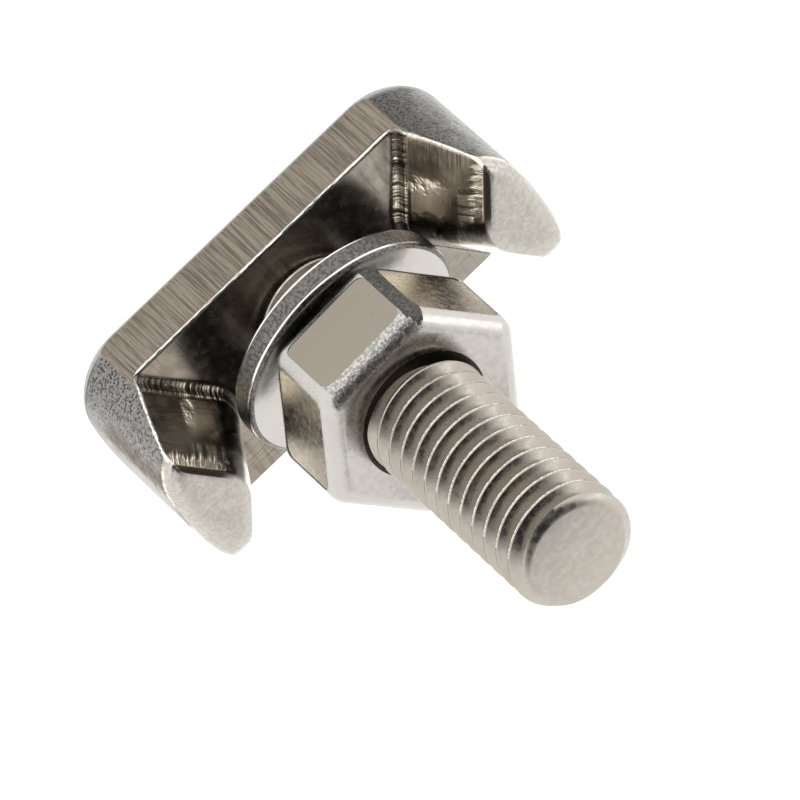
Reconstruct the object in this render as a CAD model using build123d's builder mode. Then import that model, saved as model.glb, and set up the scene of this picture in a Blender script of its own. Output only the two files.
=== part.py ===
from build123d import *
from math import ceil, cos, radians, sin, tan
import os

# T-slot bolt: a flat head with two upright lugs, a threaded shank, a loose flat
# washer that leans on the shank and a hexagon nut above it.
# Millimetres.  The head stands on its flat back at z = 0 and the thread runs along +Z.
# The lugs stand at the two ends of the head, along X.

# Thread of M8 size, right-handed, with a trapezoid groove
thread_diameter = 7.9
thread_pitch = 1.333
thread_depth = 0.775
thread_root_width = 0.25
thread_flank = 31
thread_start = 5.83
shank_length = 29.8
tip_chamfer = 0.85

# Head plate
head_length = 28.9
head_width = 13.2
plate_thickness = 4.5
end_bulge = 0.7
corner_radius = 4.4
back_edge_radius = 0.95

# Lugs: each inner wall is a blunt wedge that leans away from the shank
lug_height = 6.5
lug_foot_distance = 6.85
lug_top_distance = 9.65
wedge_angle = 31.8
wedge_radius = 2.5
lug_foot_radius = 0.8
lug_edge_radius = 1.1
lug_far_shoulder = 2.4
lug_far_lean = 18.5

# Flat washer, leaning about X with its -Y side up
washer_diameter = 15.45
washer_thickness = 1.7
washer_lean = 16.6
washer_edge_radius = 0.35
washer_play = 0.07
washer_foot_gap = 0.35

# Hexagon nut, its back on the washer's raised side
nut_width = 13.07
nut_thickness = 6.75
nut_turn = 2.6
nut_corner_radius = 1.4
nut_edge_radius = 1.2
nut_mouth_chamfer = 0.15
thread_play = 0.05
nut_seat_gap = 0.35

# Sizes and heights that follow from the ones above
thread_radius = thread_diameter / 2
groove_reach = thread_depth + 0.06
groove_half_root = thread_root_width / 2
groove_half_mouth = groove_half_root + groove_reach * tan(radians(thread_flank))
thread_turns = ceil((plate_thickness + shank_length + groove_half_mouth - thread_start) / thread_pitch)
half_length = head_length / 2
half_width = head_width / 2
lug_top = plate_thickness + lug_height
wedge_slope = tan(radians(wedge_angle))
lean_cos = cos(radians(washer_lean))
lean_sin = sin(radians(washer_lean))
washer_radius = washer_diameter / 2
half_washer = washer_thickness / 2
washer_bore = (thread_radius + washer_play + half_washer * lean_sin) / lean_cos
washer_height = plate_thickness + washer_foot_gap + washer_radius * lean_sin + half_washer * lean_cos
nut_bore = thread_radius + thread_play
nut_core_distance = (nut_width / 2 - nut_corner_radius) / cos(radians(30))
nut_core_reach = nut_core_distance * max(sin(radians(nut_turn + 60 * corner)) for corner in range(6))
nut_foot_reach = nut_core_reach + nut_corner_radius - nut_edge_radius
washer_face_height = washer_height + half_washer / lean_cos
nut_seat_height = nut_foot_reach * lean_sin / lean_cos + nut_edge_radius * (1 / lean_cos - 1)
nut_back = washer_face_height + nut_seat_height + nut_seat_gap
nut_front = nut_back + nut_thickness

os.makedirs("parts", exist_ok=True)


# ---------------------------------------------------------------- space between the lugs
# A waisted outline that opens out upwards and reaches past the head's long sides, with a
# rounded foot along both walls
pocket_reach = half_width + back_edge_radius
pocket_spread = pocket_reach * wedge_slope

with BuildPart() as pocket:
    for pocket_height, waist in ((plate_thickness, lug_foot_distance), (lug_top, lug_top_distance)):
        with BuildSketch(Plane.XY.offset(pocket_height)) as pocket_plan:
            with BuildLine():
                Polyline(
                    (waist, 0),
                    (waist + pocket_spread, pocket_reach),
                    (-waist - pocket_spread, pocket_reach),
                    (-waist, 0),
                    (-waist - pocket_spread, -pocket_reach),
                    (waist + pocket_spread, -pocket_reach),
                    close=True,
                )
            make_face()
            fillet(pocket_plan.vertices().group_by(Axis.Y)[1], radius=wedge_radius)
    loft(ruled=True)
    foot_edges = pocket.faces().sort_by(Axis.Z)[0].edges().filter_by(Axis.X, reverse=True)
    fillet(foot_edges, radius=lug_foot_radius)


# ---------------------------------------------------------------- one turn of the thread's groove
with BuildPart() as thread_groove:
    with BuildLine():
        groove_path = Helix(pitch=thread_pitch, height=thread_pitch, radius=thread_radius - thread_depth)
    with BuildSketch(Plane(origin=groove_path @ 0, x_dir=(1, 0, 0), z_dir=(groove_path % 0) * -1)):
        with BuildLine():
            Polyline(
                (0, -groove_half_root),
                (0, groove_half_root),
                (groove_reach, groove_half_mouth),
                (groove_reach, -groove_half_mouth),
                close=True,
            )
        make_face()
    sweep(path=groove_path, is_frenet=True)


# ---------------------------------------------------------------- T bolt
with BuildPart() as t_bolt:
    # Plan outline: straight long sides, slightly bulged ends and round corners
    with BuildSketch() as head_plan:
        with BuildLine():
            corner_x = half_length - end_bulge
            Line((-corner_x, -half_width), (corner_x, -half_width))
            ThreePointArc((corner_x, -half_width), (half_length, 0), (corner_x, half_width))
            Line((corner_x, half_width), (-corner_x, half_width))
            ThreePointArc((-corner_x, half_width), (-half_length, 0), (-corner_x, -half_width))
        make_face()
        fillet(head_plan.vertices(), radius=corner_radius)
    extrude(amount=lug_top)
    fillet(t_bolt.edges().group_by(Axis.Z)[0], radius=back_edge_radius)
    fillet(t_bolt.edges().group_by(Axis.Z)[-1], radius=lug_edge_radius)

    # The lugs' +Y sides lean in and have rounder shoulders
    far_inset = lug_height * tan(radians(lug_far_lean))
    with BuildSketch(Plane.YZ) as lug_profile:
        with BuildLine():
            Polyline(
                (-half_width, 0),
                (half_width, 0),
                (half_width, plate_thickness),
                (half_width - far_inset, lug_top),
                (-half_width, lug_top),
                close=True,
            )
        make_face()
        far_shoulder = lug_profile.vertices().group_by(Axis.Y)[-1].sort_by(Axis.X)[-1]
        fillet(far_shoulder, radius=lug_far_shoulder)
    extrude(amount=head_length, both=True, mode=Mode.INTERSECT)
    add(pocket.part, mode=Mode.SUBTRACT)

    # Threaded shank with a chamfered tip
    with BuildSketch(Plane.XY.offset(plate_thickness)):
        Circle(thread_radius)
    extrude(amount=shank_length)
    chamfer(t_bolt.edges().sort_by(Axis.Z)[-1], length=tip_chamfer)
    for turn in range(thread_turns):
        with Locations((0, 0, thread_start + turn * thread_pitch)):
            add(thread_groove.part, mode=Mode.SUBTRACT, clean=False)
t_bolt.part.label = "t_bolt"


# ---------------------------------------------------------------- flat washer
washer_plane = Plane(origin=(0, 0, washer_height), z_dir=(0, lean_sin, lean_cos), x_dir=(1, 0, 0))

with BuildPart() as flat_washer:
    with BuildSketch(washer_plane):
        Circle(washer_radius)
        Circle(washer_bore, mode=Mode.SUBTRACT)
    extrude(amount=half_washer, both=True)
    outer_edges = flat_washer.edges().filter_by(GeomType.CIRCLE).group_by(SortBy.RADIUS)[-1]
    fillet(outer_edges, radius=washer_edge_radius)
flat_washer.part.label = "flat_washer"


# ---------------------------------------------------------------- hexagon nut
with BuildPart() as hex_nut:
    with BuildSketch(Plane.XY.offset(nut_back)) as nut_plan:
        RegularPolygon(nut_width / 2, 6, major_radius=False, rotation=nut_turn)
        fillet(nut_plan.vertices(), radius=nut_corner_radius)
    extrude(amount=nut_thickness)
    nut_ends = hex_nut.faces().filter_by(Axis.Z)
    fillet(nut_ends.edges(), radius=nut_edge_radius)
    with Locations((0, 0, nut_front)):
        Hole(nut_bore)
    mouth_edges = hex_nut.edges().filter_by(GeomType.CIRCLE).filter_by(Plane.XY)
    chamfer(mouth_edges.filter_by(lambda edge: edge.radius < nut_bore + thread_play), length=nut_mouth_chamfer)
hex_nut.part.label = "hex_nut"


for piece in (t_bolt, flat_washer, hex_nut):
    export_step(piece.part, f"parts/{piece.part.label}.step")
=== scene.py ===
"""T-slot bolt with a leaning washer and a hexagon nut, dressed over the packed solids."""

from math import cos, pi, radians, sin, tan

import bmesh
import bpy
from mathutils import Matrix, Vector


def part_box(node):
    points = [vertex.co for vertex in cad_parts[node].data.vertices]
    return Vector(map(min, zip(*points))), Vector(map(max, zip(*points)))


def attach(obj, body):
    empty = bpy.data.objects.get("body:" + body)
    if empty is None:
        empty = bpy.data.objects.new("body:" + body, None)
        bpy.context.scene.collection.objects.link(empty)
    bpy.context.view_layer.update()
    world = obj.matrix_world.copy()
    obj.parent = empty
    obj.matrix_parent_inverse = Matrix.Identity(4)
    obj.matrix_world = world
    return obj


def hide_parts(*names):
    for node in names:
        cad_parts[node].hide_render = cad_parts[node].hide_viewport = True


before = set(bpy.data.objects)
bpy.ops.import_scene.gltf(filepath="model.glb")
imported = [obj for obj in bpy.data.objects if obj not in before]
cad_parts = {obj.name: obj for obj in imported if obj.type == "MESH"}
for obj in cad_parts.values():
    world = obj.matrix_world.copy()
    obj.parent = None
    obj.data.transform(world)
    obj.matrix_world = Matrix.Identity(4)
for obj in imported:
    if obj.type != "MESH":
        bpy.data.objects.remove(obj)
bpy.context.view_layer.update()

bl_info = {
    "name": "T-slot bolt",
    "version": (1, 0, 0),
    "blender": (4, 5, 0),
    "location": "3D View > Sidebar > T-slot bolt",
    "description": "Builds a T-slot bolt with a cut thread, a flat washer and a hexagon nut",
    "category": "Add Mesh",
}

# A millimetre in metres, and two small distances for tests and merges
MM = 0.001
NEAR = 0.001 * MM
TOUCH = 0.0001 * MM
HEAD_LOW, HEAD_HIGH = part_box("t_bolt")
WASHER_LOW, WASHER_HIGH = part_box("flat_washer")
NUT_LOW, NUT_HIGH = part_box("hex_nut")


# ---------------------------------------------------------------- sizes and colours
def length(name, description, millimetres):
    """A length that the user can change, given in millimetres."""
    return bpy.props.FloatProperty(
        name=name, description=description, default=millimetres * MM, unit="LENGTH", precision=5
    )


def angle(name, description, degrees):
    """An angle that the user can change, given in degrees."""
    return bpy.props.FloatProperty(
        name=name, description=description, default=radians(degrees), unit="ROTATION"
    )


def number(name, description, value):
    """A plain number that the user can change."""
    return bpy.props.FloatProperty(name=name, description=description, default=value, min=0)


def colour(name, description, rgb):
    """A steel tone that the user can change."""
    return bpy.props.FloatVectorProperty(
        name=name, description=description, default=rgb, subtype="COLOR", size=3, min=0, max=1
    )


def place_at(name, description, millimetres):
    """A place that the user can change, given in millimetres."""
    return bpy.props.FloatVectorProperty(
        name=name,
        description=description,
        default=[value * MM for value in millimetres],
        subtype="XYZ",
        unit="LENGTH",
        precision=5,
    )


class HeadSizes(bpy.types.PropertyGroup):
    """The flat head and its two lugs."""

    end_bulge: length("End bulge", "How far the middle of each end stands out", 0.7)
    corner_radius: length("Corner radius", "Radius of the head's corners in plan", 4.4)
    plate_thickness: length("Plate thickness", "Thickness between the lugs", 4.5)
    lug_height: length("Lug height", "Height of the lugs above the plate", 6.5)
    back_edge: length("Back edge", "Radius round the flat back", 0.95)
    lug_edge: length("Lug edge", "Radius round the outer edge of the lugs' tops", 1.1)
    foot_distance: length("Wedge foot", "From the axis to the wedge's nose at the plate", 6.85)
    top_distance: length("Wedge top", "From the axis to the wedge's nose at the top", 9.65)
    wedge_angle: angle("Wedge angle", "Slant of each inner wall from the Y axis", 31.8)
    wedge_radius: length("Wedge nose", "Radius of the wedge's nose in plan", 2.5)
    foot_fillet: length("Foot fillet", "Radius at the foot of the inner walls", 0.8)
    brow: length("Brow", "Rounding where the inner wall meets the lug's top", 0.45)
    far_lean: angle("Far lean", "Lean of the lugs' +Y sides", 18.5)
    far_shoulder: length("Far shoulder", "Radius at the top of the leaning sides", 2.4)
    wear_start: length("Wear start", "Y where the wear of the lugs' far tips starts", 1.6)
    wear_full: length("Wear full", "Y from which the far tips are fully worn", 2.8)
    brow_start: length("Brow start", "Y where the wear of the brow starts", -1.8)
    wear_end: length("Wear end", "X beyond which only the far tips are worn", 12.6)
    wear_height: length("Wear height", "From the plate up to where the wear starts", 1.5)
    grain: length("Grain", "Size of the faces of the head", 0.13)


class ThreadSizes(bpy.types.PropertyGroup):
    """The right-hand thread."""

    radius: length("Radius", "Radius over the crests", 3.95)
    pitch: length("Pitch", "Rise of one turn", 1.333)
    depth: length("Depth", "Depth of the groove", 0.775)
    root_width: length("Root width", "Width of the groove's floor", 0.25)
    flank: angle("Flank", "Slant of the groove's sides", 31)
    start: length("Start", "Height of the groove's start on the +X side", 5.83)
    tip_chamfer: length("Tip chamfer", "Chamfer at the free end", 0.85)
    worn: length("Wear", "How much of the crests' edges is worn off", 0.05)
    play: length("Play", "Play between the bolt's thread and the nut's", 0.05)


class WasherSizes(bpy.types.PropertyGroup):
    """The loose flat washer."""

    outer_radius: length("Outer radius", "Half of the outer diameter", 7.725)
    thickness: length("Thickness", "Thickness of the plate", 1.7)
    bore_radius: length("Bore radius", "Radius of the hole", 4.451)
    lean: angle("Lean", "How far the washer leans on the shank", 16.6)
    shoulder: length("Shoulder", "Radius of the rim's shoulders", 0.42)


class NutSizes(bpy.types.PropertyGroup):
    """The hexagon nut."""

    width: length("Across flats", "Width across the flats", 13.07)
    turn: angle("Turn", "Turn about the axis", 2.6)
    corner_radius: length("Corner radius", "Radius of the six corners", 1.4)
    end_radius: length("End radius", "Rounding of both ends", 1.2)
    panel_reach: length("Panel reach", "How far each flat runs into the rounded edges", 0.22)
    panel_depth: length("Panel depth", "Depth of the fine step round each flat", 0.06)
    panel_corner: length("Panel corner", "Radius of each flat's corners", 0.6)
    mouth_radius: length("Mouth radius", "Radius of the hole at the face", 4.2)
    dish_radius: length("Dish radius", "Outer radius of the shallow dish", 5.6)
    dish_depth: length("Dish depth", "Depth of the shallow dish", 0.35)


class SteelTones(bpy.types.PropertyGroup):
    """Tones of the steel."""

    bright: colour("Bright", "Plain steel", (0.46, 0.45, 0.43))
    pale: colour("Pale", "Clean tops of the lugs", (0.40, 0.378, 0.342))
    taupe: colour("Taupe", "Streaked long sides", (0.27, 0.235, 0.19))
    taupe_dark: colour("Dark taupe", "Streaks of the long sides", (0.13, 0.112, 0.09))
    # Flat: painted shade, the darker tone given only to the nut's flat that faces -Y
    flat: colour("Flat", "Flats of the nut", (0.262, 0.238, 0.195))
    side: colour("Side", "Other flats of the nut", (0.56, 0.51, 0.44))
    thread: colour("Thread", "Sides of the thread", (0.38, 0.355, 0.32))
    tip: colour("Tip", "Tint of the bolt's tip", (0.37, 0.33, 0.29))
    rim: colour("Rim", "Washer's rim", (0.17, 0.168, 0.16))
    brown: colour("Brown", "Inner walls", (0.52, 0.45, 0.36))
    brown_dark: colour("Dark brown", "Stains of the inner walls", (0.27, 0.225, 0.175))
    channel: colour("Channel", "Polished face between the lugs", (0.30, 0.275, 0.24))
    # Scored: the bright tone of the scores, also used as painted highlight on the brow and on the column
    # behind the nose
    scored_and_highlight: colour("Scored", "Bright marks at the foot of the walls", (0.95, 0.87, 0.72))
    amber: colour("Amber", "Tinted end", (0.10, 0.062, 0.026))
    # Wall shade: painted shade on the +X inner wall and along the foot of both walls
    wall_shade: colour("Dark wall", "Inner wall at +X", (0.16, 0.15, 0.13))
    end: colour("End", "Ends of the head", (0.33, 0.325, 0.31))
    mottle: colour("Mottle", "Mottling of the ends", (0.13, 0.125, 0.115))
    pit: colour("Pit", "Pits of the ends and the nut's corner", (0.035, 0.034, 0.032))
    # Dark: grime, and also the tone of painted shade and painted dark reflections
    dark: colour("Dark", "Grime", (0.05, 0.045, 0.04))
    # Highlight: painted highlight on sharp edges, on the walls' far sides, on the front crests and on the
    # washer's shoulders
    burr: colour("Burr", "Bright burr along the sheared edges", (0.92, 0.90, 0.86))


class StageSizes(bpy.types.PropertyGroup):
    """Floor, lights and camera."""

    aim: place_at("Aim", "Point that the camera and the lights face", (0.56, -2.05, 17.0))

    floor_width: length("Floor width", "Side of the square floor", 4000.0)
    floor_glow: number("Floor glow", "Light that the paper floor gives of itself", 0.8)
    wall_light: number("Wall light", "Brightness of the room's walls", 1.5)
    gap_light: number("Gap light", "Brightness of the dark gap in the ceiling", 0.03)
    gap_height: angle("Gap height", "Height of the dark gap above the -Y side", 78)
    gap_narrowing: number("Gap narrowing", "How much narrower the gap is along X", 1.3)
    gap_edge: number("Gap edge", "Cosine from the gap's middle to where it starts", 0.62)
    gap_core: number("Gap core", "Cosine from the gap's middle to where it is full", 0.79)
    camera_distance: length("Camera distance", "From the aim point to the camera", 590.1)
    azimuth: angle("Azimuth", "Camera's turn from the -Y side towards +X", 5.001)
    elevation: angle("Elevation", "Camera's height above the floor", 46.02)
    roll: angle("Roll", "Camera's turn about its own line of sight", 132.5)
    lens: number("Lens", "Focal length in millimetres on a frame 36 mm wide", 454.35)


# ---------------------------------------------------------------- modelling helpers
def settle():
    """Leaves edit mode and deselects everything."""
    if bpy.context.object and bpy.context.object.mode != "OBJECT":
        bpy.ops.object.mode_set(mode="OBJECT")
    bpy.ops.object.select_all(action="DESELECT")


def take(piece):
    """Makes one piece the only selected and active one."""
    settle()
    piece.hide_set(False)
    piece.select_set(True)
    bpy.context.view_layer.objects.active = piece


def open_mesh(piece, kind="EDGE"):
    """Opens a piece in edit mode with nothing selected."""
    take(piece)
    bpy.ops.object.mode_set(mode="EDIT")
    bpy.ops.mesh.select_mode(type=kind)
    bpy.ops.mesh.select_all(action="DESELECT")


def pick(piece, kind, test):
    """Selects the vertices, edges or faces that pass the test, and says how many there are."""
    mesh = bmesh.from_edit_mesh(piece.data)
    mesh.select_mode = {kind}
    bpy.ops.mesh.select_mode(type=kind)
    mesh = bmesh.from_edit_mesh(piece.data)
    for part in (*mesh.faces, *mesh.edges, *mesh.verts):
        part.select = False
    chosen = {"VERT": mesh.verts, "EDGE": mesh.edges, "FACE": mesh.faces}[kind]
    found = [part for part in chosen if test(part)]
    for part in found:
        part.select_set(True)
    bmesh.update_edit_mesh(piece.data)
    return len(found)


def draw_outline(name, points, closed):
    """Draws a line through points, from one vertex, and fills it where it is closed."""
    settle()
    bpy.ops.mesh.primitive_plane_add(size=MM, location=(0, 0, 0))
    piece = bpy.context.object
    piece.name = name
    piece.data.name = name
    bpy.ops.object.mode_set(mode="EDIT")
    bpy.ops.mesh.select_mode(type="VERT")
    bpy.ops.mesh.select_all(action="SELECT")
    bpy.ops.mesh.merge(type="CENTER")
    bpy.ops.mesh.select_all(action="SELECT")
    bpy.ops.transform.translate(value=points[0])
    here = Vector(points[0])
    for point in points[1:]:
        step = Vector(point) - here
        bpy.ops.mesh.extrude_vertices_move(TRANSFORM_OT_translate={"value": step})
        here = Vector(point)
    bpy.ops.mesh.select_all(action="SELECT")
    if closed:
        bpy.ops.mesh.edge_face_add()
    bpy.ops.object.mode_set(mode="OBJECT")
    return piece


def round_corners(piece, test, offset, segments):
    """Rounds the corners of a flat outline that pass the test."""
    open_mesh(piece, "VERT")
    pick(piece, "VERT", test)
    bpy.ops.mesh.bevel(offset=offset, segments=segments, affect="VERTICES")
    bpy.ops.object.mode_set(mode="OBJECT")


def round_edges(piece, test, radius, segments):
    """Rounds the edges of a solid that pass the test."""
    open_mesh(piece)
    pick(piece, "EDGE", test)
    bpy.ops.mesh.bevel(offset=radius, segments=segments)
    bpy.ops.object.mode_set(mode="OBJECT")


def pull(step):
    """Extrudes what is selected by one step."""
    bpy.ops.mesh.extrude_region_move(TRANSFORM_OT_translate={"value": step})


def face_outwards(piece):
    """Merges doubles and turns every face outwards."""
    open_mesh(piece, "VERT")
    bpy.ops.mesh.select_all(action="SELECT")
    bpy.ops.mesh.remove_doubles(threshold=TOUCH)
    bpy.ops.mesh.normals_make_consistent(inside=False)
    bpy.ops.object.mode_set(mode="OBJECT")


def thicken(piece, step):
    """Pulls a filled outline by one step into a solid."""
    open_mesh(piece, "FACE")
    bpy.ops.mesh.select_all(action="SELECT")
    pull(step)
    bpy.ops.object.mode_set(mode="OBJECT")
    face_outwards(piece)


def at_height(level):
    """A test that an edge or a face lies at one height."""
    return lambda part: all(abs(end.co.z - level) < NEAR for end in part.verts)


def use(piece, kind, **settings):
    """Adds a modifier with its settings and applies it."""
    take(piece)
    modifier = piece.modifiers.new(kind.title(), kind)
    for key, value in settings.items():
        setattr(modifier, key, value)
    bpy.ops.object.modifier_apply(modifier=modifier.name)


def combine(piece, tool, operation):
    """Joins, cuts or intersects a piece with a tool, and throws the tool away."""
    use(piece, "BOOLEAN", operation=operation, object=tool, solver="EXACT")
    settle()
    bpy.data.objects.remove(tool, do_unlink=True)


def smooth(piece, degrees=30):
    """Shades a piece smooth but for its sharp edges."""
    take(piece)
    bpy.ops.object.shade_smooth_by_angle(angle=radians(degrees), keep_sharp_edges=False)
    settle()


def place(piece, body, node):
    """Puts a finished piece on its body, in place of its solid."""
    take(piece)
    bpy.ops.object.transform_apply(location=True, rotation=True, scale=True)
    settle()
    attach(piece, body)
    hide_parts(node)


def off_axis(at):
    """How far a point is from the piece's axis."""
    return Vector(at[:2]).length


def everywhere(at, out):
    """Every face passes."""
    return True


def dress(piece, finishes):
    """Gives each face the last finish whose test it passes, and stops at an empty piece."""
    if not piece.data.polygons:
        raise RuntimeError(piece.name + " has no faces")
    piece.data.materials.clear()
    for material, _test in finishes:
        piece.data.materials.append(material)
    for face in piece.data.polygons:
        for index, (_material, test) in enumerate(finishes):
            if test(face.center, face.normal):
                face.material_index = index


# ---------------------------------------------------------------- finishes
# Where most of a cloud's values lie, the tone of specks, and the stretch of streaks that run
# along Z, of grain in level lines, and of scores that run up the inner walls
SPREAD = (0.3, 0.7)
SPECK = (0.08, 0.07, 0.06)
UPRIGHT = (1, 1, 0.02)
LEVEL = (0.08, 0.08, 1)
UP_THE_WALL = (0.06, 1, 0.06)


def feed(tree, socket, source):
    """Links an input to another node's output, or sets it to a value."""
    if hasattr(source, "is_output"):
        tree.links.new(source, socket)
    else:
        socket.default_value = source


def add_node(tree, kind, inputs=(), **fields):
    """Adds a node, sets its fields and feeds its inputs."""
    node = tree.nodes.new(kind)
    for field, value in fields.items():
        setattr(node, field, value)
    for socket, source in dict(inputs).items():
        feed(tree, node.inputs[socket], source)
    return node


class Finish:
    """A steel made of nodes that read the piece's own coordinates."""

    def __init__(self, name):
        self.material = bpy.data.materials.new(name)
        self.material.use_nodes = True
        self.tree = self.material.node_tree
        self.shader = self.tree.nodes["Principled BSDF"]
        self.shader.inputs["Metallic"].default_value = 1.0
        self.place = self.add("ShaderNodeTexCoord").outputs["Object"]

    def add(self, kind, inputs=(), **fields):
        """Adds a node to this steel."""
        return add_node(self.tree, kind, inputs, **fields)

    def axis(self, letter):
        """One of the piece's coordinates, in metres."""
        return self.add("ShaderNodeSeparateXYZ", {"Vector": self.place}).outputs[letter]

    def facing(self, letter):
        """How far the surface faces along one of the piece's axes, from -1 to 1."""
        out = self.add("ShaderNodeTexCoord").outputs["Normal"]
        return self.add("ShaderNodeSeparateXYZ", {"Vector": out}).outputs[letter]

    def cloud(self, per_metre, detail=3.0, stretch=(1, 1, 1), rough=0.5):
        """Soft random pattern, about per_metre spots to the metre, mostly within SPREAD."""
        place = self.add("ShaderNodeMapping", {"Vector": self.place, "Scale": stretch}).outputs["Vector"]
        return self.add(
            "ShaderNodeTexNoise", {"Vector": place, "Scale": per_metre, "Detail": detail, "Roughness": rough}
        ).outputs["Fac"]

    def spots(self, per_metre):
        """Distance to the nearest of many scattered points, 0 at a point."""
        points = self.add("ShaderNodeTexVoronoi", {"Vector": self.place, "Scale": per_metre})
        return points.outputs["Distance"]

    def math(self, first, second, operation):
        """Arithmetic on two values."""
        return self.add("ShaderNodeMath", {0: first, 1: second}, operation=operation).outputs["Value"]

    def plus(self, first, second):
        """The sum of two values."""
        return self.math(first, second, "ADD")

    def minus(self, first, second):
        """The first value less the second."""
        return self.math(first, second, "SUBTRACT")

    def times(self, *values):
        """Values multiplied together."""
        total = values[0]
        for value in values[1:]:
            total = self.math(total, value, "MULTIPLY")
        return total

    def band(self, value, low, high, start=0.0, end=1.0):
        """Maps value from low..high to start..end with soft ends."""
        return self.add(
            "ShaderNodeMapRange",
            {"Value": value, "From Min": low, "From Max": high, "To Min": start, "To Max": end},
            interpolation_type="SMOOTHSTEP",
        ).outputs["Result"]

    def stripe(self, value, start, full, fade, end):
        """1 where value is from full to fade, falling to 0 at start and at end."""
        return self.times(self.band(value, start, full), self.band(value, end, fade))

    def blend(self, factor, first, second):
        """Mixes two tones."""
        tones = [tone if hasattr(tone, "is_output") else (*tone, 1.0) for tone in (first, second)]
        inputs = {"Factor": factor, 6: tones[0], 7: tones[1]}
        return self.add("ShaderNodeMix", inputs, data_type="RGBA").outputs[2]

    def coat(self, tint, tone, *masks):
        """Lays a tone over a tint, as strongly as the masks say together."""
        return self.blend(self.times(*masks), tint, tone)

    def finish(self, tint, roughness, *reliefs):
        """Gives the shader its tint, its roughness and its reliefs, each a pattern with its depth."""
        height = self.times(*reliefs[0])
        for relief in reliefs[1:]:
            height = self.plus(height, self.times(*relief))
        bumps = self.add("ShaderNodeBump", {"Height": height, "Strength": 1.0, "Distance": 1.0})
        normal = bumps.outputs["Normal"]
        for name, source in {"Base Color": tint, "Roughness": roughness, "Normal": normal}.items():
            feed(self.tree, self.shader.inputs[name], source)
        return self.material


def satin_steel(name, tone, grime, roughness, grain=0.003 * MM, swell=0.01 * MM):
    """Light satin steel, faintly clouded and specked."""
    steel = Finish(name)
    tint = steel.blend(steel.band(steel.cloud(500, 4.0), *SPREAD, 0.0, 0.25), tone, grime)
    specks = steel.times(steel.band(steel.spots(3000), 0.16, 0.05), steel.band(steel.cloud(900), 0.5, 0.6))
    tint = steel.coat(tint, SPECK, specks, 0.3)
    rough = steel.band(steel.cloud(2500), *SPREAD, roughness * 0.8, roughness * 1.25)
    return steel.finish(tint, rough, (steel.cloud(14000, 2.0), grain), (steel.cloud(1300), swell))


def pitted_steel(name, tone, grime, depth, roughness):
    """Steel that is rough and finely pitted all over."""
    steel = Finish(name)
    fine = steel.cloud(5200, 5.0, rough=0.65)
    tint = steel.coat(tone, grime, steel.band(fine, 0.56, 0.44), 0.7)
    rough = steel.band(steel.cloud(1800), *SPREAD, roughness * 0.8, roughness * 1.3)
    return steel.finish(tint, rough, (fine, depth), (steel.cloud(1500), depth * 1.5))


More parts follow.
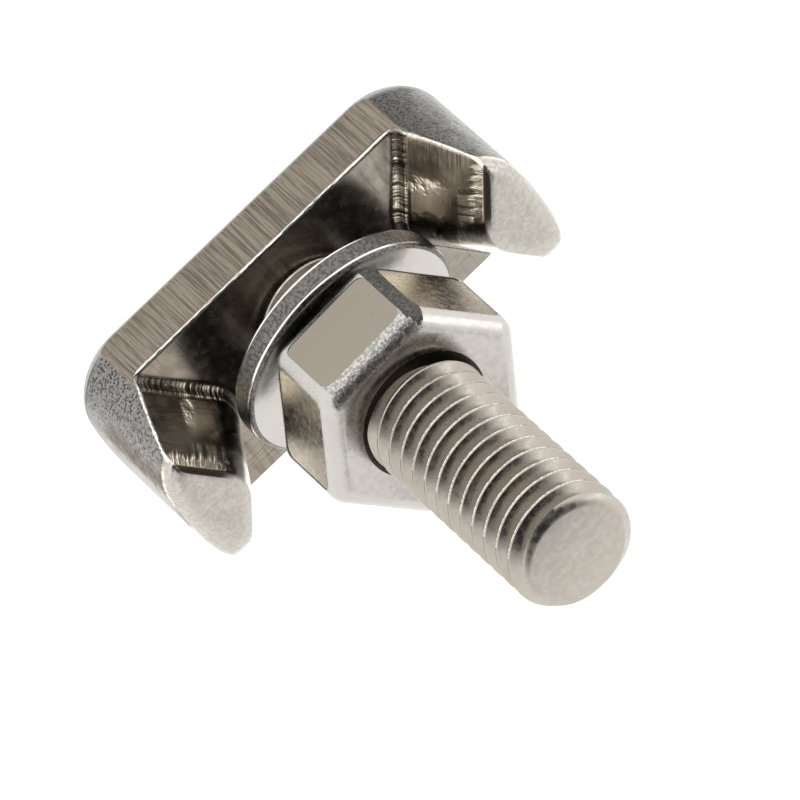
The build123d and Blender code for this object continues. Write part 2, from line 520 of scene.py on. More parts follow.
class HeadFinish(Finish):
    """The head's steel, region by region. A mask is 1 within its region and 0 outside it."""

    def __init__(self, name, tones, sizes):
        super().__init__(name)
        self.tones = tones
        plate, top = sizes.plate_thickness, sizes.plate_thickness + sizes.lug_height
        self.plate, self.top = plate, top
        self.x, self.y, self.z = (self.axis(letter) for letter in "XYZ")
        out_x, out_y, self.out_z = (self.facing(letter) for letter in "XYZ")
        self.front = self.times(out_y, -1.0)
        self.inward = self.times(out_x, self.math(self.x, 0.0, "SIGN"), -1.0)

        # Patterns
        self.fine = self.cloud(4600, rough=0.6)
        self.swell = self.cloud(1300)
        self.streaks = self.cloud(9500, 4.0, UPRIGHT, 0.7)
        self.grain = self.cloud(6500, stretch=LEVEL)
        self.scores = self.cloud(4600, stretch=UP_THE_WALL, rough=0.6)
        self.marks = self.band(self.scores, 0.45, 0.56)
        self.gaps = self.band(self.scores, 0.47, 0.38)
        self.faint = self.band(self.cloud(3800, 4.0), 0.35, 0.65)
        self.ragged = self.plus(self.y, self.times(self.swell, 1.2 * MM))

        # Masks of the sides, the back edge, the inner walls and the face between them
        upwards = self.band(self.out_z, 0.10, 0.2)
        self.side = self.band(self.times(out_y, out_y), 0.90, 0.94)
        self.back = self.band(self.z, 1.3 * MM, 0.7 * MM)
        self.inside = self.times(upwards, self.band(self.z, top - 0.05 * MM, top - 0.35 * MM))
        level = self.band(self.out_z, 0.86, 0.97)
        self.channel = self.times(level, self.band(self.z, plate + 0.5 * MM, plate + 0.1 * MM))

        # Masks on the inner walls: far side with painted light, highlight column behind the nose, its
        # painted highlight patch, foot and the brow's painted highlight band
        # Painted light: the far side of each inner wall is painted pale
        self.far = self.band(self.ragged, 0.3 * MM, 1.3 * MM)
        self.highlight_column = self.stripe(self.ragged, -3.4 * MM, -2.3 * MM, -1.3 * MM, -0.6 * MM)
        patch = self.stripe(self.z, plate + 0.9 * MM, plate + 1.3 * MM, plate + 2.0 * MM, plate + 4.4 * MM)
        # Painted highlight patch low on the column, also raised a little in relief
        self.worn = self.times(self.highlight_column, patch)
        low = self.band(self.z, plate + 1.15 * MM, plate + 0.85 * MM)
        self.foot = self.times(self.inside, low, self.band(self.out_z, 0.97, 0.85))
        height = self.plus(self.z, self.times(self.plus(self.scores, -0.5), 1.5 * MM))
        # Painted highlight band along the brow, ragged with the scores
        self.brow = self.times(
            upwards,
            self.band(height, top - 1.2 * MM, top - 0.8 * MM),
            self.band(self.z, top - 0.2 * MM, top - 0.4 * MM),
            self.stripe(self.ragged, -5.0 * MM, -4.0 * MM, -1.6 * MM, -0.7 * MM),
        )

        # Mask of the lugs' tops
        lids = self.band(self.z, top - 1.3 * MM, top - 0.8 * MM)
        steep = self.times(self.inside, self.band(self.inward, 0.3, 0.6))
        self.tops = self.times(self.band(self.out_z, 0.15, 0.45), lids, self.minus(1.0, steep))

    def ends(self):
        """Rumbled ends: more pits and painted shade where they turn into the long side, darkest at -X,
        stained at +X, with a painted highlight on the back edge and a painted dark line at +X.
        """
        tones, swell = self.tones, self.swell
        # Painted shade where the end turns into the long side, darkest at -X; more pits there too
        turned = self.band(self.plus(self.front, self.times(swell, 0.4)), 0.55, 1.10)
        tint = self.coat(tones.end, tones.dark, turned, self.band(self.x, 4 * MM, -4 * MM, 0.30, 0.92))
        mottle = self.band(self.fine, 0.40, 0.62)
        tint = self.coat(tint, tones.mottle, mottle, self.band(turned, 0.0, 0.5, 0.15, 0.75))
        stained = self.stripe(self.plus(self.front, self.times(swell, 0.35)), 0.25, 0.42, 0.62, 0.78)
        uneven_z = self.plus(self.z, self.times(swell, 3 * MM))
        high = self.band(uneven_z, self.plate - 1 * MM, self.plate + 1.5 * MM)
        tint = self.coat(tint, tones.amber, self.band(self.x, 0.0, 1 * MM), stained, high, 0.85)
        dots = self.plus(self.spots(4600), self.times(swell, 0.25))
        pits = self.band(self.plus(dots, self.times(turned, -0.14)), 0.41, 0.33)
        tint = self.coat(tint, tones.pit, pits, 0.92)
        # Painted highlight on the rounded back edge
        tint = self.coat(tint, tones.bright, self.back, 0.8)
        # Painted dark reflection line along the back edge at +X
        line = self.stripe(self.z, 0.95 * MM, 1.0 * MM, 1.05 * MM, 1.12 * MM)
        return self.coat(tint, tones.dark, line, self.band(self.x, 11 * MM, 12 * MM))

    def sheared_sides(self):
        """Long sides, with fine streaks from the shear."""
        tones = self.tones
        tint = self.blend(self.band(self.streaks, 0.40, 0.58), tones.taupe_dark, tones.taupe)
        wide = self.band(self.cloud(1500, stretch=UPRIGHT), 0.60, 0.70, 0, 0.45)
        grit = self.band(self.cloud(8000, 2.0), 0.55, 0.70, 0, 0.5)
        return self.coat(self.coat(tint, tones.taupe_dark, wide), tones.taupe_dark, grit)

    def inner_walls(self):
        """Inner walls: brown with stains, painted shade at +X and behind the nose, a painted highlight
        patch, and painted light on the far sides.
        """
        tones = self.tones
        tint = self.blend(self.band(self.cloud(420, 4.0), 0.35, 0.68), tones.brown, tones.brown_dark)
        # Painted shade on the +X wall
        tint = self.coat(tint, tones.wall_shade, self.band(self.x, 0.0, 1 * MM, 0, 0.7))
        # Painted shadow behind the wedge's nose
        nose_shadow = self.stripe(self.ragged, -1.6 * MM, -0.6 * MM, 0.0, 0.9 * MM)
        tint = self.coat(tint, tones.dark, nose_shadow, 0.85)
        tint = self.coat(tint, tones.dark, self.band(self.grain, 0.52, 0.68), 0.35)
        # Painted light on the walls' far sides, darker in the gaps between the scores
        tint = self.coat(tint, tones.burr, self.far, 0.9)
        tint = self.coat(tint, tones.brown_dark, self.far, self.gaps, 0.5)
        # Painted highlight patch on the column
        return self.coat(tint, tones.scored_and_highlight, self.worn, 0.95)

    def polished_channel(self):
        """Polished face between the lugs, browner at +X and smeared along Y."""
        tones = self.tones
        tint = self.blend(self.band(self.x, 6 * MM, 9 * MM, 0, 0.6), tones.channel, tones.brown_dark)
        return self.coat(tint, tones.dark, self.band(self.cloud(2600, stretch=(1, 0.1, 1)), 0.5, 0.7), 0.4)

    def scored_and_highlight(self, tint):
        """Scores the foot of the walls, with painted shade and painted highlights on the scores, and paints
        a ragged highlight band on the brow and highlight marks high on the column.
        """
        tones, top = self.tones, self.top
        # Painted highlights on the scores along the lit stretch of the foot, with scattered glints
        lit_stretch = self.stripe(self.y, -4.2 * MM, -3.2 * MM, -1.3 * MM, -0.6 * MM)
        glints = self.band(self.spots(2600), 0.22, 0.10)
        score_highlights = self.math(self.times(lit_stretch, self.marks), self.times(glints, 0.5), "MAXIMUM")
        # Painted shade along the foot
        tint = self.coat(tint, tones.wall_shade, self.foot, 0.8)
        tint = self.coat(tint, tones.scored_and_highlight, self.foot, score_highlights)
        tint = self.coat(tint, tones.dark, self.foot, self.gaps)
        # Painted highlight band on the brow
        tint = self.coat(tint, tones.scored_and_highlight, self.brow, 0.95)
        # Painted highlight marks high on the column behind the nose
        upper_highlight = self.stripe(self.z, top - 2.2 * MM, top - 1.9 * MM, top - 1.1 * MM, top - 0.9 * MM)
        return self.coat(tint, tones.scored_and_highlight, self.highlight_column, self.inside, upper_highlight, self.marks, 0.8)

    def lug_tops(self, tint):
        """Lays the pale tops of the lugs over the tint, with a painted dark reflection along the inner
        walls' brows.
        """
        tones, top = self.tones, self.top
        pale = self.blend(self.faint, tones.pale, tones.bright)
        specks = self.times(self.band(self.spots(2400), 0.14, 0.06), self.band(self.swell, 0.45, 0.6))
        tint = self.coat(tint, self.coat(pale, tones.brown_dark, specks, 0.6), self.tops)
        # Painted dark reflection along the rounded brow
        return self.coat(
            tint,
            tones.dark,
            self.stripe(self.out_z, 0.45, 0.6, 0.93, 0.985),
            self.band(self.z, top - 0.6 * MM, top - 0.4 * MM),
            self.band(self.y, -0.8 * MM, -2.0 * MM),
            self.band(self.inward, 0.12, 0.3),
        )

    def burr(self, tint):
        """Lays a painted highlight along the sharp edges of the walls and of the sheared side, where the
        burr catches the light.
        """
        # Painted highlight on convex edges, picked by pointiness
        return self.coat(
            tint,
            self.tones.burr,
            self.band(self.add("ShaderNodeNewGeometry").outputs["Pointiness"], 0.525, 0.545),
            self.band(self.inward, -0.60, -0.50),
            self.band(self.front, 0.25, 0.4),
            self.band(self.z, self.plate - 0.6 * MM, self.plate - 0.2 * MM),
        )

    def reliefs(self):
        """The patterns in relief, each with its depth last."""
        others = (self.minus(1.0, mask) for mask in (self.side, self.inside, self.tops, self.back))
        rest = self.times(*others)
        return (
            (self.fine, rest, 0.07 * MM),
            (self.swell, rest, 0.09 * MM),
            (self.streaks, self.side, 0.016 * MM),
            (self.grain, self.minus(self.inside, self.channel), 0.018 * MM),
            (self.scores, self.foot, 0.20 * MM),
            (self.scores, self.brow, 0.10 * MM),
            (self.worn, 0.12 * MM),
            (self.scores, self.far, self.inside, 0.03 * MM),
            (self.faint, self.tops, 0.003 * MM),
        )

    def roughness(self):
        """Rougher on the sides and in the channel, glossier on the inner walls."""
        rough = self.band(self.swell, *SPREAD, 0.27, 0.36)
        for mask, change in ((self.side, 0.08), (self.inside, -0.10), (self.channel, 0.03)):
            rough = self.plus(rough, self.times(mask, change))
        return rough


def head_steel(name, tones, sizes):
    """The head's steel: sheared long sides, rumbled ends, stained walls with painted shade and highlights,
    clean tops, painted edge highlights.
    """
    steel = HeadFinish(name, tones, sizes)
    tint = steel.blend(steel.side, steel.ends(), steel.sheared_sides())
    tint = steel.blend(steel.inside, tint, steel.inner_walls())
    tint = steel.blend(steel.channel, tint, steel.polished_channel())
    tint = steel.burr(steel.lug_tops(steel.scored_and_highlight(tint)))
    return steel.finish(tint, steel.roughness(), *steel.reliefs())


# ---------------------------------------------------------------- pieces
# How far the foot of the inner walls runs out for each unit of its radius, and the steps of a circle
FOOT_SHARE = 0.7
ROUND_STEPS = 96


def lug_space(sizes):
    """The waisted space between the lugs, as a solid to cut with."""
    floor, rise, fillet, brow = sizes.plate_thickness, sizes.lug_height, sizes.foot_fillet, sizes.brow
    reach = (HEAD_HIGH.y - HEAD_LOW.y) / 2 + sizes.back_edge
    spread = reach * tan(sizes.wedge_angle)
    foot_run = fillet * FOOT_SHARE
    waist = sizes.foot_distance - foot_run
    wide = waist + spread
    corners = [(waist, 0), (wide, reach), (-wide, reach), (-waist, 0), (-wide, -reach), (wide, -reach)]
    tool = draw_outline("lug_space", [(x, y, floor) for x, y in corners], True)
    nose = sizes.wedge_radius * tan(sizes.wedge_angle)
    round_corners(tool, lambda corner: abs(corner.co.y) < 0.1 * MM, nose, 8)

    # Heights above the floor and how far the walls have moved out there: foot, wall, brow
    slope = (sizes.top_distance - sizes.foot_distance) / rise
    turns = [pi / 2 * step / 6 for step in range(1, 7)]
    levels = [(fillet * (1 - cos(turn)), foot_run * sin(turn)) for turn in turns]
    brow_foot, brow_run = rise - brow, foot_run + slope * (rise - brow)
    levels.append((brow_foot, brow_run))
    for turn in turns:
        up = brow * sin(turn)
        levels.append((brow_foot + up, brow_run + slope * up + brow * (1 - cos(turn))))
    levels.append((rise + brow, levels[-1][1] + brow))

    open_mesh(tool, "FACE")
    bpy.ops.mesh.select_all(action="SELECT")
    height, run = 0.0, 0.0
    for next_height, next_run in levels:
        pull((0, 0, next_height - height))
        level = floor + next_height
        for side in (1, -1):
            pick(tool, "VERT", lambda corner: abs(corner.co.z - level) < NEAR and corner.co.x * side > 0)
            bpy.ops.transform.translate(value=((next_run - run) * side, 0, 0))
        pick(tool, "FACE", at_height(level))
        height, run = next_height, next_run
    bpy.ops.object.mode_set(mode="OBJECT")
    face_outwards(tool)
    return tool


def lug_profile(sizes):
    """The head's side view with its leaning far side, as a solid to intersect with."""
    half = (HEAD_HIGH.y - HEAD_LOW.y) / 2
    reach = HEAD_HIGH.x * 1.2
    top = sizes.plate_thickness + sizes.lug_height
    inset = sizes.lug_height * tan(sizes.far_lean)
    margin = 2 * MM
    side_view = [
        (-half - margin, -margin),
        (half + margin, -margin),
        (half + margin, sizes.plate_thickness),
        (half, sizes.plate_thickness),
        (half - inset, top),
        (-half - margin, top),
    ]
    tool = draw_outline("lug_profile", [(-reach, y, z) for y, z in side_view], True)
    shoulder = sizes.far_shoulder * tan((pi / 2 - sizes.far_lean) / 2)
    leaning_top = Vector((-reach, half - inset, top))
    round_corners(tool, lambda corner: (corner.co - leaning_top).length < NEAR, shoulder, 8)
    thicken(tool, (2 * reach, 0, 0))
    return tool


def make_head(sizes):
    """The flat oblong head with a lug at each end."""
    half_length, half_width = HEAD_HIGH.x, HEAD_HIGH.y
    corner_x = half_length - sizes.end_bulge
    plan = [
        (-corner_x, -half_width),
        (corner_x, -half_width),
        (half_length, 0),
        (corner_x, half_width),
        (-corner_x, half_width),
        (-half_length, 0),
    ]
    head = draw_outline("head", [(x, y, 0) for x, y in plan], True)
    corner_turn = pi / 2 - sizes.end_bulge / half_width
    corner_offset = sizes.corner_radius * tan(corner_turn / 2)
    bulge_offset = half_width - corner_offset - 0.3 * MM
    round_corners(head, lambda corner: abs(corner.co.y) > half_width - NEAR, corner_offset, 12)
    round_corners(head, lambda corner: abs(corner.co.x) > half_length - NEAR, bulge_offset, 6)
    top = sizes.plate_thickness + sizes.lug_height
    thicken(head, (0, 0, top))
    round_edges(head, at_height(0), sizes.back_edge, 6)
    round_edges(head, at_height(top), sizes.lug_edge, 6)
    combine(head, lug_profile(sizes), "INTERSECT")
    combine(head, lug_space(sizes), "DIFFERENCE")
    face_outwards(head)
    use(head, "REMESH", mode="VOXEL", voxel_size=sizes.grain)
    wear(head, sizes)
    return head


def ramp(value, start, full):
    """0 up to start, 1 from full on, and straight between them."""
    return max(0.0, min(1.0, (value - start) / (full - start)))


def wear(head, sizes):
    """Wears the lugs' far tips and brows round, and takes the edge off everything else."""
    tips = head.vertex_groups.new(name="tips")
    foot = sizes.plate_thickness + sizes.wear_height
    end = sizes.wear_end
    for corner in head.data.vertices:
        far = ramp(corner.co.y, sizes.wear_start, sizes.wear_full)
        brow = min(ramp(corner.co.y, sizes.brow_start, 0.0), ramp(abs(corner.co.x), end, end - 1.2 * MM))
        high = ramp(corner.co.z, foot, foot + sizes.wear_height)
        tips.add([corner.index], min(max(far, brow), high), "REPLACE")
    use(head, "SMOOTH", factor=0.5, iterations=60, vertex_group="tips")
    use(head, "SMOOTH", factor=0.5, iterations=2)


def threaded_rod(name, sizes, low, high, play=0.0):
    """A rod with a right-hand thread between two heights, larger by the play."""
    pitch = sizes.pitch
    crest = sizes.radius + play
    root = sizes.radius - sizes.depth + play
    flank = sizes.depth * tan(sizes.flank)
    gap = sizes.root_width - play
    land = pitch - gap - 2 * flank
    worn = sizes.worn
    spare = 3
    below = int((sizes.start - low) / pitch) + spare
    bottom = sizes.start - gap / 2 - below * pitch
    section = [
        (root, 0),
        (root, gap),
        (crest - worn, gap + flank * (1 - worn / sizes.depth)),
        (crest, gap + flank + land * 0.3),
        (crest, gap + flank + land * 0.7),
        (crest - worn, gap + flank * (1 + worn / sizes.depth) + land),
        (root, pitch),
    ]
    rod = draw_outline(name, [(radius, 0, bottom + rise) for radius, rise in section], False)
    turns = int((high - bottom) / pitch) + spare
    use(
        rod,
        "SCREW",
        axis="Z",
        angle=2 * pi,
        screw_offset=pitch,
        iterations=turns,
        steps=ROUND_STEPS,
        render_steps=ROUND_STEPS,
        use_merge_vertices=True,
        merge_threshold=NEAR,
    )
    open_mesh(rod, "VERT")
    bpy.ops.mesh.select_all(action="SELECT")
    bpy.ops.mesh.remove_doubles(threshold=NEAR)
    for side, level in ((-1, low - pitch * 0.6), (1, high + pitch * 0.6)):
        bpy.ops.mesh.select_all(action="SELECT")
        bpy.ops.mesh.bisect(
            plane_co=(0, 0, level), plane_no=(0, 0, side), clear_outer=True, use_fill=True, threshold=TOUCH
        )
    bpy.ops.object.mode_set(mode="OBJECT")
    face_outwards(rod)
    return rod


def make_shank(sizes, plate):
    """The threaded shank with its chamfered tip, sunk a little into the plate."""
    sunk = 0.3 * MM
    low, high = plate - sunk, HEAD_HIGH.z
    rod = threaded_rod("shank", sizes, low, high)
    settle()
    bpy.ops.mesh.primitive_cylinder_add(
        vertices=ROUND_STEPS,
        radius=sizes.radius + 0.01 * MM,
        depth=high - low,
        location=(0, 0, (high + low) / 2),
    )
    blank = bpy.context.object
    bpy.ops.object.transform_apply(location=True)
    round_edges(blank, at_height(high), sizes.tip_chamfer, 5)
    combine(rod, blank, "INTERSECT")
    face_outwards(rod)
    return rod


def make_washer(sizes):
    """The flat washer, spun from its section."""
    half, inner, outer = sizes.thickness / 2, sizes.bore_radius, sizes.outer_radius
    section = [(inner, -half), (outer, -half), (outer, half), (inner, half), (inner, -half)]
    washer = draw_outline("washer", [(x, 0, z) for x, z in section], False)
    open_mesh(washer, "VERT")
    bpy.ops.mesh.select_all(action="SELECT")
    bpy.ops.mesh.remove_doubles(threshold=TOUCH)
    pick(washer, "VERT", lambda corner: corner.co.x > outer - NEAR)
    bpy.ops.mesh.bevel(offset=sizes.shoulder, segments=6, affect="VERTICES")
    pick(washer, "VERT", lambda corner: corner.co.x < inner + NEAR)
    bpy.ops.mesh.bevel(offset=0.08 * MM, segments=2, affect="VERTICES")
    bpy.ops.mesh.select_all(action="SELECT")
    bpy.ops.mesh.spin(steps=128, angle=2 * pi, center=(0, 0, 0), axis=(0, 0, 1), use_auto_merge=True)
    bpy.ops.object.mode_set(mode="OBJECT")
    face_outwards(washer)
    return washer


def flat_ways(sizes):
    """The directions that the nut's six flats face, as turns about the axis."""
    return [sizes.turn + pi / 6 + pi / 3 * side for side in range(6)]


def rise_of(edge):
    """The difference in height between an edge's ends."""
    return abs(edge.verts[0].co.z - edge.verts[1].co.z)


def flat_pocket(sizes, way):
    """A thin plate with rounded corners, to sink one flat of the nut by a hair."""
    inset = sizes.end_radius - sizes.panel_reach
    low, high = NUT_LOW.z + inset, NUT_HIGH.z - inset
    wide = (sizes.width / 2 - sizes.corner_radius) * tan(pi / 6) + sizes.panel_reach
    deep = sizes.width / 2 - sizes.panel_depth
    outline = [(deep, -wide, low), (deep, wide, low), (deep, wide, high), (deep, -wide, high)]
    plate = draw_outline("flat_pocket", outline, True)
    round_corners(plate, lambda corner: True, sizes.panel_corner, 5)
    thicken(plate, (1 * MM, 0, 0))
    take(plate)
    plate.rotation_euler.z = way
    bpy.ops.object.transform_apply(rotation=True)
    return plate


def make_nut(sizes, thread):
    """The hexagon nut with rounded ends, a dished face and its own thread."""
    height = NUT_HIGH.z - NUT_LOW.z
    settle()
    bpy.ops.mesh.primitive_cylinder_add(
        vertices=6,
        radius=sizes.width / 2 / cos(pi / 6),
        depth=height,
        location=(0, 0, (NUT_HIGH.z + NUT_LOW.z) / 2),
        rotation=(0, 0, sizes.turn + pi / 6),
    )
    nut = bpy.context.object
    nut.name = nut.data.name = "nut"
    bpy.ops.object.transform_apply(location=True, rotation=True)
    round_edges(nut, lambda edge: rise_of(edge) > height / 2, sizes.corner_radius * tan(pi / 6), 6)
    round_edges(nut, lambda edge: rise_of(edge) < NEAR, sizes.end_radius, 8)
    for way in flat_ways(sizes):
        combine(nut, flat_pocket(sizes, way), "DIFFERENCE")
    face_outwards(nut)

    # The dish's cone stands out of the nut by a margin
    settle()
    margin = 0.5 * MM
    slope = (sizes.dish_radius - sizes.mouth_radius) / sizes.dish_depth
    bpy.ops.mesh.primitive_cone_add(
        vertices=ROUND_STEPS,
        radius1=sizes.mouth_radius,
        radius2=sizes.dish_radius + slope * margin,
        depth=sizes.dish_depth + margin,
        location=(0, 0, NUT_HIGH.z - sizes.dish_depth + (sizes.dish_depth + margin) / 2),
    )
    dish = bpy.context.object
    bpy.ops.object.transform_apply(location=True)
    combine(nut, dish, "DIFFERENCE")
    tap = threaded_rod("tap", thread, NUT_LOW.z, NUT_HIGH.z, thread.play)
    combine(nut, tap, "DIFFERENCE")
    face_outwards(nut)
    return nut


# ---------------------------------------------------------------- operators
class MakeHead(bpy.types.Operator):
    """Makes the head with its two lugs"""

    bl_idname = "t_slot_bolt.make_head"
    bl_label = "Head"

    def execute(self, context):
        sizes, tones = context.scene.bolt_head, context.scene.bolt_tones
        head = make_head(sizes)
        dress(head, [(head_steel("head_steel", tones, sizes), everywhere)])
        smooth(head, 60)
        place(head, "bolt", "t_bolt")
        return {"FINISHED"}


class MakeShank(bpy.types.Operator):
    """Makes the threaded shank"""

    bl_idname = "t_slot_bolt.make_shank"
    bl_label = "Threaded shank"

    def execute(self, context):
        sizes, tones = context.scene.bolt_thread, context.scene.bolt_tones
        shank = make_shank(sizes, context.scene.bolt_head.plate_thickness)
        thread = satin_steel("thread_steel", tones.thread, tones.brown_dark, 0.26, 0.001 * MM, 0.006 * MM)
        # Painted highlight on the crests facing -Y, painted shade on the crests at the sides
        crest = pitted_steel("crest_steel", tones.burr, tones.brown_dark, 0.02 * MM, 0.2)
        crest_in_shade = satin_steel("crest_shade_steel", tones.dark, tones.brown_dark, 0.3)
        tip = satin_steel("tip_steel", tones.pale, tones.tip, 0.3, 0.002 * MM, 0.006 * MM)

        def on_crest(at):
            return off_axis(at) > sizes.radius - 0.006 * MM

        dress(
            shank,
            [
                (thread, everywhere),
                (crest, lambda at, out: on_crest(at) and -out.y > 0.6),
                (crest_in_shade, lambda at, out: on_crest(at) and -out.y <= 0.6),
                (tip, lambda at, out: out.z > 0.6 and at.z > HEAD_HIGH.z - 1 * MM),
            ],
        )
        smooth(shank, 20)
        place(shank, "bolt", "t_bolt")
        return {"FINISHED"}


class MakeWasher(bpy.types.Operator):
    """Makes the flat washer"""

    bl_idname = "t_slot_bolt.make_washer"
    bl_label = "Flat washer"

    def execute(self, context):
        sizes, tones = context.scene.bolt_washer, context.scene.bolt_tones
        washer = make_washer(sizes)
        plain = satin_steel("washer_steel", tones.bright, tones.pale, 0.2)
        shoulder = pitted_steel("shoulder_steel", tones.rim, tones.dark, 0.03 * MM, 0.3)
        # Painted highlight on the shoulder faces turned towards the light
        shoulder_highlight = satin_steel("shoulder_highlight_steel", tones.burr, tones.bright, 0.18)
        rim = pitted_steel("rim_steel", tones.rim, tones.dark, 0.08 * MM, 0.3)

        def on_shoulder(at):
            return off_axis(at) > sizes.outer_radius - sizes.shoulder

        dress(
            washer,
            [
                (plain, everywhere),
                (shoulder, lambda at, out: on_shoulder(at) and (out.z < -0.65 or 0.5 < out.z < 0.95)),
                (
                    shoulder_highlight,
                    lambda at, out: on_shoulder(at) and (-0.65 <= out.z < -0.2 or 0.3 < out.z <= 0.5),
                ),
                (rim, lambda at, out: off_axis(at) > sizes.outer_radius - 0.03 * MM),
            ],
        )
        smooth(washer)
        washer.rotation_euler.x = -sizes.lean
        washer.location.z = (WASHER_LOW.z + WASHER_HIGH.z) / 2
        place(washer, "washer", "flat_washer")
        return {"FINISHED"}


class MakeNut(bpy.types.Operator):
    """Makes the hexagon nut"""

    bl_idname = "t_slot_bolt.make_nut"
    bl_label = "Hexagon nut"

    def execute(self, context):
        sizes, tones = context.scene.bolt_nut, context.scene.bolt_tones
        nut = make_nut(sizes, context.scene.bolt_thread)
        plain = satin_steel("nut_steel", tones.bright, tones.pale, 0.25)
        front_edge = pitted_steel("nut_edge_steel", tones.bright, tones.rim, 0.05 * MM, 0.2)
        # Pitted corner beside the front flat, darkened with painted shade
        corner = pitted_steel("nut_corner_pits_and_shade_steel", tones.mottle, tones.pit, 0.14 * MM, 0.3)
        flat = satin_steel("nut_side_steel", tones.side, tones.bright, 0.24)
        # Painted shade: darker copy of the flat steel for the flat facing -Y
        shaded_front_flat = satin_steel("nut_front_shade_steel", tones.flat, tones.flat, 0.22)
        # Painted shade in the fine step round each flat
        step = satin_steel("nut_step_shade_steel", tones.dark, tones.pit, 0.3)
        # Painted shadow in the hole and its thread
        hole_shadow = satin_steel("nut_hole_shadow_steel", tones.dark, tones.pit, 0.35)
        ways = flat_ways(sizes)

        def reach_of(vector):
            return max(vector.x * cos(way) + vector.y * sin(way) for way in ways)

        def on_front_edge(at, out):
            return out.y < -0.1 and out.x < 0.25 and 0.02 < out.z < 0.995 and at.y < -4 * MM

        def on_corner(at, out):
            return out.x < -0.2 and out.y < -0.3 and abs(out.z) < 0.9 and at.x > -4.6 * MM

        def on_flat(at, out):
            floor = sizes.width / 2 - sizes.panel_depth
            return abs(out.z) < 0.01 and abs(at.x * out.x + at.y * out.y - floor) < 0.01 * MM

        def on_step(at, out):
            if reach_of(at) <= sizes.width / 2 - sizes.panel_depth * 0.9:
                return False
            return reach_of(out) < 0.6 or (reach_of(out) < 0.7 and abs(out.z) > 0.9)

        dress(
            nut,
            [
                (plain, everywhere),
                (front_edge, on_front_edge),
                (corner, on_corner),
                (flat, on_flat),
                (shaded_front_flat, lambda at, out: on_flat(at, out) and out.y < -0.9),
                (step, on_step),
                (hole_shadow, lambda at, out: off_axis(at) < sizes.mouth_radius + 0.05 * MM),
            ],
        )
        smooth(nut)
        place(nut, "nut", "hex_nut")
        return {"FINISHED"}


# Soft lights: place, width and height in metres, and brightness
STRIPS = {
    "front_strip": ((0.0, -0.72, 0.22), (0.5, 0.10), 2.0),
    "left_strip": ((-0.62, 0.1, 0.30), (0.12, 0.5), 1.6),
}


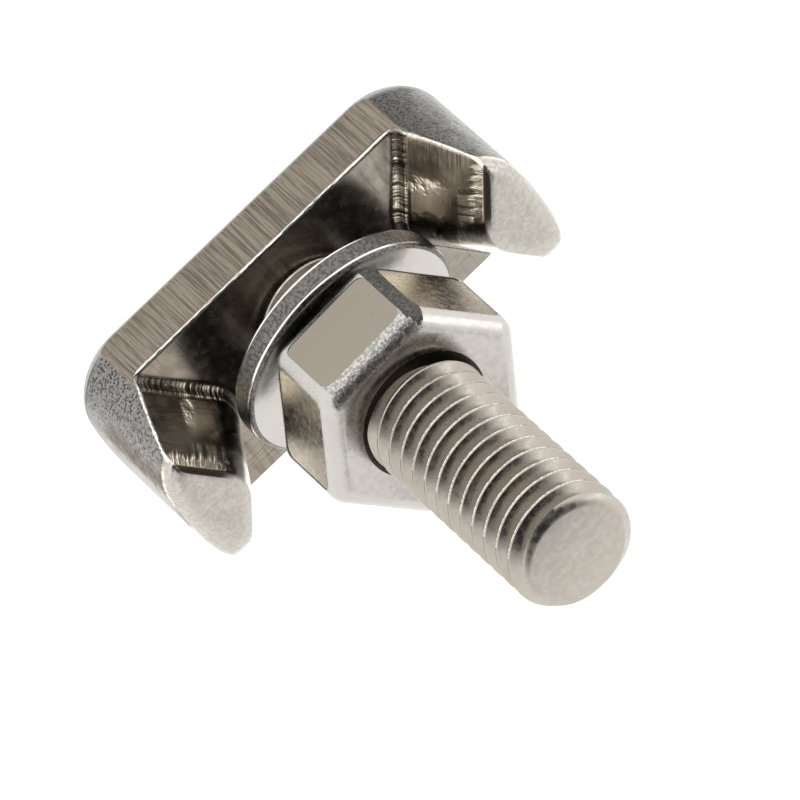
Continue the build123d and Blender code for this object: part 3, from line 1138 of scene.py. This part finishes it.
class SetStage(bpy.types.Operator):
    """Sets the floor, the lights and the camera"""

    bl_idname = "t_slot_bolt.set_stage"
    bl_label = "Stage"

    def execute(self, context):
        sizes = context.scene.bolt_stage
        settle()
        bpy.ops.mesh.primitive_plane_add(size=sizes.floor_width, location=(0, 0, -0.02 * MM))
        floor = context.object
        floor.name = floor.data.name = "floor"
        paper = bpy.data.materials.new("white_paper")
        paper.use_nodes = True
        shader = paper.node_tree.nodes["Principled BSDF"]
        shader.inputs["Base Color"].default_value = (0.8, 0.8, 0.8, 1)
        shader.inputs["Roughness"].default_value = 0.9
        shader.inputs["Emission Color"].default_value = (1, 1, 1, 1)
        shader.inputs["Emission Strength"].default_value = sizes.floor_glow
        floor.data.materials.append(paper)

        context.scene.world = self.studio(sizes)
        aim = Vector(sizes.aim)
        for name, (position, size, radiance) in STRIPS.items():
            self.add_light(name, position, aim, size, radiance)

        settle()
        bpy.ops.object.camera_add()
        camera = context.object
        camera.name = "camera"
        camera.data.sensor_width = 36
        camera.data.lens = sizes.lens
        camera.data.clip_start = 0.01
        camera.data.clip_end = 10
        turn = (
            Matrix.Rotation(sizes.azimuth, 4, "Z")
            @ Matrix.Rotation(pi / 2 - sizes.elevation, 4, "X")
            @ Matrix.Rotation(sizes.roll, 4, "Z")
        )
        line = turn @ Vector((0, 0, 1))
        camera.matrix_world = Matrix.Translation(aim + line * sizes.camera_distance) @ turn
        context.scene.camera = camera
        context.scene.view_settings.view_transform = "Standard"
        settle()
        return {"FINISHED"}

    def studio(self, sizes):
        """A pale room with a dark gap high above the bolt's -Y side."""
        room = bpy.data.worlds.new("studio")
        room.use_nodes = True
        tree = room.node_tree

        def vector_math(operation, *values):
            inputs = dict(enumerate(values))
            return add_node(tree, "ShaderNodeVectorMath", inputs, operation=operation).outputs

        way = add_node(tree, "ShaderNodeTexCoord").outputs["Generated"]
        way = vector_math("MULTIPLY", way, (sizes.gap_narrowing, 1, 1))["Vector"]
        way = vector_math("NORMALIZE", way)["Vector"]
        middle = (0, -cos(sizes.gap_height), sin(sizes.gap_height))
        nearness = vector_math("DOT_PRODUCT", way, middle)["Value"]
        limits = {"From Min": sizes.gap_edge, "From Max": sizes.gap_core}
        lights = {"To Min": sizes.wall_light, "To Max": sizes.gap_light}
        inputs = {"Value": nearness, **limits, **lights}
        fade = add_node(tree, "ShaderNodeMapRange", inputs, interpolation_type="SMOOTHSTEP")
        walls = tree.nodes["Background"]
        feed(tree, walls.inputs["Strength"], fade.outputs["Result"])
        walls.inputs["Color"].default_value = (1.0, 0.985, 0.96, 1)
        return room

    def add_light(self, name, position, aim, size, radiance):
        """Adds a soft strip that faces the object, with that brightness."""
        settle()
        bpy.ops.object.light_add(type="AREA", location=position)
        lamp = bpy.context.object
        lamp.name = lamp.data.name = name
        lamp.rotation_euler = (Vector(position) - aim).to_track_quat("Z", "Y").to_euler()
        lamp.data.shape = "RECTANGLE"
        lamp.data.size, lamp.data.size_y = size
        lamp.data.energy = radiance * pi * size[0] * size[1]


class BoltPanel(bpy.types.Panel):
    """Lists the pieces of the bolt and their sizes"""

    bl_idname = "VIEW3D_PT_t_slot_bolt"
    bl_label = "T-slot bolt"
    bl_space_type = "VIEW_3D"
    bl_region_type = "UI"
    bl_category = "T-slot bolt"

    def draw(self, context):
        layout = self.layout
        for step in PIECES:
            layout.operator(step.bl_idname)
        for group, sizes in GROUPS.items():
            box = layout.box()
            box.label(text=sizes.__doc__)
            for name in sizes.__annotations__:
                box.prop(getattr(context.scene, group), name)


PIECES = (MakeHead, MakeShank, MakeWasher, MakeNut, SetStage)
GROUPS = {
    "bolt_head": HeadSizes,
    "bolt_thread": ThreadSizes,
    "bolt_washer": WasherSizes,
    "bolt_nut": NutSizes,
    "bolt_tones": SteelTones,
    "bolt_stage": StageSizes,
}


def register():
    """Registers the sizes, the operators and the panel."""
    for group, sizes in GROUPS.items():
        bpy.utils.register_class(sizes)
        setattr(bpy.types.Scene, group, bpy.props.PointerProperty(type=sizes))
    for step in (*PIECES, BoltPanel):
        bpy.utils.register_class(step)


def unregister():
    """Takes them all away again."""
    for step in (BoltPanel, *reversed(PIECES)):
        bpy.utils.unregister_class(step)
    for group, sizes in GROUPS.items():
        delattr(bpy.types.Scene, group)
        bpy.utils.unregister_class(sizes)


def main():
    """Builds the whole bolt."""
    register()
    for step in PIECES:
        prefix, name = step.bl_idname.split(".")
        getattr(getattr(bpy.ops, prefix), name)()


if __name__ == "__main__":
    main()
